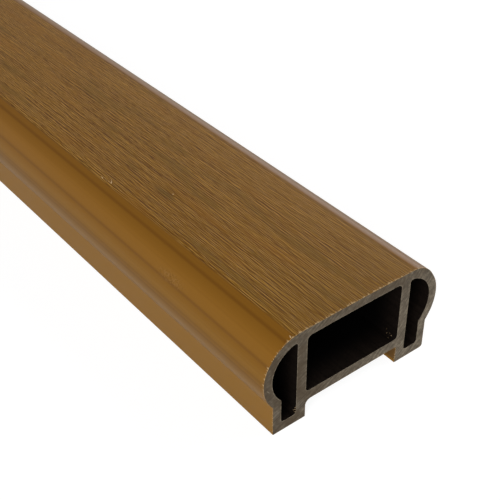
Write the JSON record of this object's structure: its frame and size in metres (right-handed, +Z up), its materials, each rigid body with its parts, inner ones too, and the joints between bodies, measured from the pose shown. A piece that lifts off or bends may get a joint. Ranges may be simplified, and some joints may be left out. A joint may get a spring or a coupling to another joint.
{
  "type": "stair handrail length",
  "caption": "Hollow wood-plastic composite stair handrail length with a brushed flat top, round noses and a recess between its feet that sits over a support rail or post bracket.",
  "frame": {"origin": "halfway along the rail, on its centre line, in the plane that both feet rest on", "axes": "+X across the rail, +Y along it, +Z up through the top"},
  "size_m": [0.1, 1.8, 0.051],
  "materials": {
    "capped_composite": "golden-brown cap with a brushed grain on top and smooth satin sides, over grey-brown composite"
  },
  "bodies": {
    "root": {"handrail_profile": "capped_composite"}
  },
  "joints": []
}
